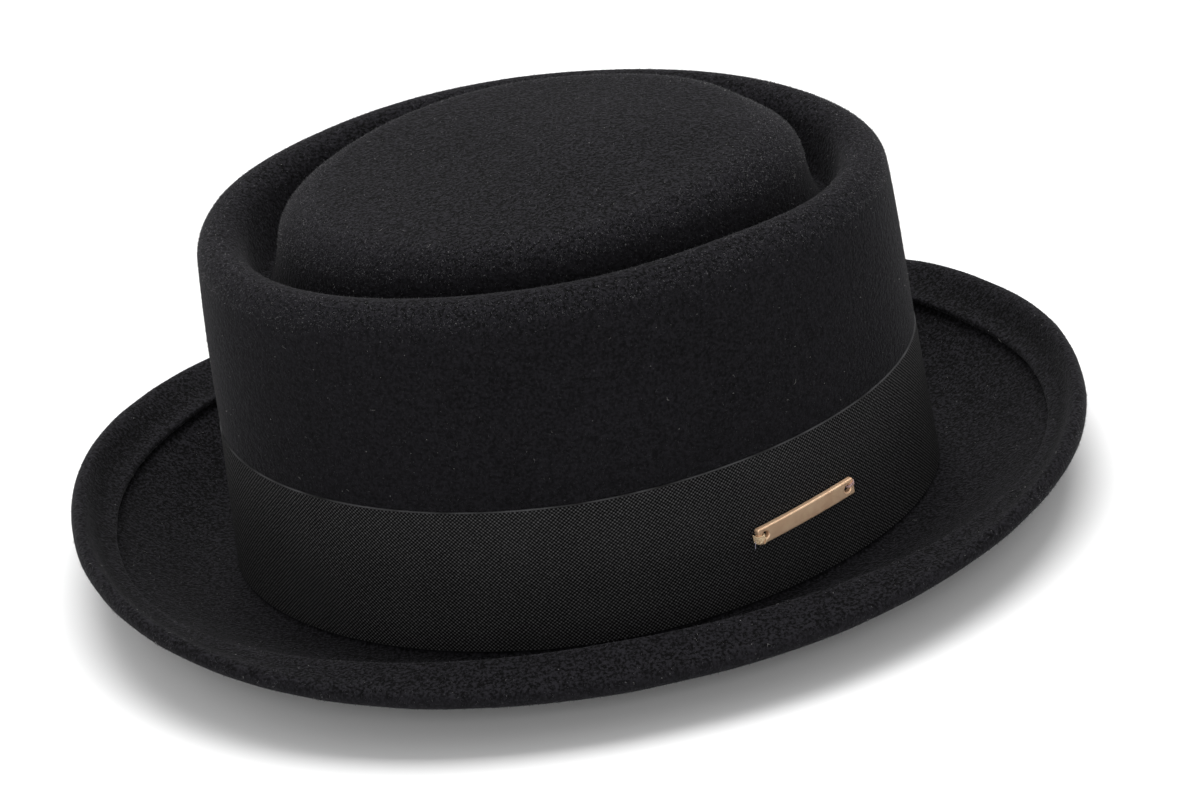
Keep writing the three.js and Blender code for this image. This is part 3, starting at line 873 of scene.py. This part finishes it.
# %% Bend of the bar
NEAR_END = 0.5 * MM
at_ends = np.abs(bar_local[:, 0]) > bar_half[0] - NEAR_END
bar_back = bar_local[:, 2].max() - BAR_THICKNESS
arc_height = bar_back - bar_local[at_ends, 2].min()
bar_bend = (bar_half[0] ** 2 + arc_height ** 2) / (2 * arc_height)
bar_place = Vector(bar_middle) - bar_out * BAR_SINK
print("arc height, mm:", round(float(arc_height / MM), 2), "radius, mm:", round(float(bar_bend / MM), 1))

# %% [markdown]
# The plate is drawn flat, as a stack of levels from its back to its face. Each level has three rings, the
# outline and the two holes, and near both faces the rings draw into the metal, which rounds every edge.
# Then the plate is cut across at every millimetre and bent to the crown.


# %% Build the bar
CORNER = 0.6 * MM
CORNER_POINTS = 6
HOLE_POINTS = 32
BEND_CUTS = 16  # on each side of the middle, a millimetre apart
ROUNDING = 0.4 * MM


def plate_rings(bm, inset, height):
    """The plate's outline and its two holes at one height, all drawn into the metal by the inset."""
    outline = []
    for k in range(4 * CORNER_POINTS):
        corner, step = divmod(k, CORNER_POINTS)
        turn = math.pi / 2 * (corner + step / (CORNER_POINTS - 1))
        side_x = 1 if corner in (0, 3) else -1
        side_y = 1 if corner in (0, 1) else -1
        x = side_x * (bar_half[0] - CORNER) + (CORNER - inset) * math.cos(turn)
        y = side_y * (bar_half[1] - CORNER) + (CORNER - inset) * math.sin(turn)
        outline.append(bm.verts.new((x, y, height)))
    rings = [outline]
    for side in (-1, 1):
        middle = side * (bar_half[0] - HOLE_INSET)
        around = BAR_HOLE + inset
        turns = [2 * math.pi * k / HOLE_POINTS for k in range(HOLE_POINTS)]
        rings.append([
            bm.verts.new((middle + around * math.cos(turn), around * math.sin(turn), height))
            for turn in turns])
    return rings


def build_bar():
    bm = bmesh.new()
    # the first pair, a little farther in, keeps the rounding's shading off the flat face
    profile = [(1.2, 0.0)]
    profile += [(1 - math.cos(t), 1 - math.sin(t)) for t in np.radians((90, 65, 40, 20, 0))]
    levels = [plate_rings(bm, inset * ROUNDING, rise * ROUNDING) for inset, rise in profile]
    for inset, rise in reversed(profile):
        levels.append(plate_rings(bm, inset * ROUNDING, BAR_THICKNESS - rise * ROUNDING))
    for lower, upper in zip(levels, levels[1:]):
        for low, high in zip(lower, upper):
            for k in range(len(low)):
                j = (k + 1) % len(low)
                bm.faces.new((low[k], low[j], high[j], high[k]))
    for level in (levels[0], levels[-1]):
        rim = [bm.edges.get((ring[k - 1], ring[k])) for ring in level for k in range(len(ring))]
        bmesh.ops.triangle_fill(bm, use_beauty=True, use_dissolve=False, edges=rim)
    for k in range(-BEND_CUTS, BEND_CUTS + 1):
        every = list(bm.verts) + list(bm.edges) + list(bm.faces)
        bmesh.ops.bisect_plane(bm, geom=every, plane_co=(k * MM, 0, 0), plane_no=(1, 0, 0))
    bmesh.ops.recalc_face_normals(bm, faces=bm.faces)
    for vert in bm.verts:
        vert.co.z -= bar_bend - math.sqrt(bar_bend ** 2 - vert.co.x ** 2)
        vert.co.z += bar_back
    bmesh.ops.transform(bm, matrix=Matrix.Translation(bar_place) @ bar_axes.to_4x4(), verts=bm.verts)
    return bm


bar = to_object(build_bar(), "gold_bar")
print("bar faces:", len(bar.data.polygons))

# %% [markdown]
# The bar is rose gold with a satin finish. Polished gold would mirror the softboxes, and a plain rough
# one would look like paint. So it is rough but metallic, and fine lines brushed along it make its
# roughness uneven.


# %% Bar material
GOLD_DEEP = (0.90, 0.61, 0.40, 1)
GOLD_PALE = (1.0, 0.74, 0.51, 1)
BRUSHED = (0.15, 3.0, 1.0)  # the grain is long along the bar and short across it


def gold_material():
    nodes = Nodes("satin_rose_gold")
    where = nodes.in_object()
    turned = nodes.add("ShaderNodeMapping", Vector=where)
    turned.inputs["Rotation"].default_value = bar_axes.to_euler()
    stretched = nodes.add("ShaderNodeMapping", {"vector_type": "POINT"}, Vector=turned.outputs[0])
    stretched.inputs["Scale"].default_value = BRUSHED
    brushed = nodes.grain(stretched.outputs[0], 1500.0, 3.0, 0.6)
    patina = nodes.grain(where, 260.0, 2.0, 0.6)
    color = nodes.mix(nodes.ramp(patina, 0.35, 0.7), GOLD_DEEP, GOLD_PALE)
    rough = nodes.add("ShaderNodeMapRange", Value=brushed, To_Min=0.52, To_Max=0.62)
    nodes.relief(brushed, 0.02 * MM, 0.15)
    return nodes.finish(color, rough.outputs[0], Metallic=0.8)


bar.data.materials.append(gold_material())
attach(bar, "root")
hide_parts("metal_bar")
print("bar dressed")

# %% [markdown]
# ## The thread that holds the bar
#
# Thread comes up through each hole, runs over the bar's end and goes down into the ribbon beside it: a
# thick beige bundle at the back end, with a short frayed tail, and a few pinkish strands at the front
# end. Each strand is a curve with a round section, drawn in the bar's own directions.


# %% Threads
THREAD = 0.16 * MM


def on_bar(along, up, raised):
    """A place over the bar's face, bent as the bar is."""
    x = along * MM
    sag = bar_bend - math.sqrt(bar_bend ** 2 - x ** 2)
    height = bar_back + BAR_THICKNESS + raised * MM - sag
    return bar_place + bar_axes @ Vector((x, up * MM, height))


def strand(name, places, radius):
    curve = bpy.data.curves.new(name, "CURVE")
    curve.dimensions = "3D"
    curve.bevel_depth = radius
    curve.bevel_resolution = 2
    curve.resolution_u = 6
    spline = curve.splines.new("BEZIER")
    spline.bezier_points.add(len(places) - 1)
    for point, place in zip(spline.bezier_points, places):
        point.co = on_bar(*place)
        point.handle_left_type = "AUTO"
        point.handle_right_type = "AUTO"
    curve.use_fill_caps = True
    made = bpy.data.objects.new(name, curve)
    scene.collection.objects.link(made)
    evaluated = made.evaluated_get(bpy.context.evaluated_depsgraph_get())
    mesh = bpy.data.meshes.new_from_object(evaluated)
    bpy.data.objects.remove(made)
    bpy.data.curves.remove(curve)
    return mesh


def join_strands(name, strands, material):
    bm = bmesh.new()
    for mesh in strands:
        bm.from_mesh(mesh)
        bpy.data.meshes.remove(mesh)
    piece = to_object(bm, name)
    piece.data.materials.append(material)
    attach(piece, "root")
    return piece


def thread_material(name, dark, light):
    nodes = Nodes(name)
    plies = nodes.grain(nodes.in_object(), 4000.0, 2.0, 0.6)
    color = nodes.mix(nodes.ramp(plies, 0.35, 0.65), dark, light)
    return nodes.finish(color, 0.7, Specular_IOR_Level=0.2)


print("thread helpers ready")

# %% [markdown]
# A strand's course is a short list of places: down in the hole, at the hole's edge, on the bar, over its
# end and down in the ribbon. Each place says how far along the bar, how far up and how far above its
# face, in mm. The strands were placed one by one, because a tidy row of them would look like a machine's
# work.

# %% Sew the bar on
half_bar = float(bar_half[0] / MM)
hole = half_bar - HOLE_INSET / MM
# where each strand crosses the hole's edge and the bar's end, up or down from the bar's middle line, in mm
BACK_STRANDS = [(0.30, 0.35), (0.12, 0.0), (-0.06, -0.35), (-0.24, -0.75), (-0.42, -1.15), (-0.6, -1.6)]
FRONT_STRANDS = [(0.65, 1.35), (0.42, 0.95), (0.2, 0.5)]
back_strands = []
for k, (start, end) in enumerate(BACK_STRANDS):
    back_strands.append(strand("back_strand", [
        (-hole + 0.1, start * 0.8, -1.5),
        (-hole - 0.45, start, -0.12),
        (-hole - 1.3, (start + end) / 2, 0.22),
        (-half_bar - 0.05, end, 0.05),
        (-half_bar - 0.35, end * 1.05, -2.0),
    ], THREAD * (1.2 if k % 2 else 0.95)))
back_strands.append(strand("back_strand", [
    (-hole - 0.05, -0.6, -1.3),
    (-hole - 0.2, -1.05, 0.0),
    (-hole - 0.75, -2.2, 0.1),
    (-hole - 0.9, -2.65, -2.0),
], THREAD))
beige = thread_material("beige_thread", (0.50, 0.33, 0.19, 1), (0.96, 0.78, 0.53, 1))
back_thread = join_strands("back_thread", back_strands, beige)

front_strands = []
for start, end in FRONT_STRANDS:
    front_strands.append(strand("front_strand", [
        (hole + 0.1, start, -1.5),
        (hole + 0.6, start, -0.05),
        (hole + 1.3, (start + end) / 2, 0.16),
        (half_bar + 0.05, end, 0.0),
        (half_bar + 0.3, end, -2.0),
    ], THREAD * 0.8))
pink = thread_material("pink_thread", (0.28, 0.16, 0.15, 1), (0.66, 0.48, 0.47, 1))
front_thread = join_strands("front_thread", front_strands, pink)

tail_strands = []
for k in range(4):
    tail_strands.append(strand("tail_strand", [
        (-half_bar - 0.25, -0.9, -1.5),
        (-half_bar - 0.5 - 0.08 * k, -1.8, -1.3 + 0.1 * k),
        (-half_bar - 0.7 - 0.12 * k, -2.7 - 0.15 * k, -1.4 + 0.12 * k),
    ], THREAD * 0.45))
lilac = thread_material("lilac_thread", (0.30, 0.28, 0.36, 1), (0.60, 0.56, 0.68, 1))
thread_tail = join_strands("thread_tail", tail_strands, lilac)
threads = (back_thread, front_thread, thread_tail)
print("thread faces:", [len(thread.data.polygons) for thread in threads])
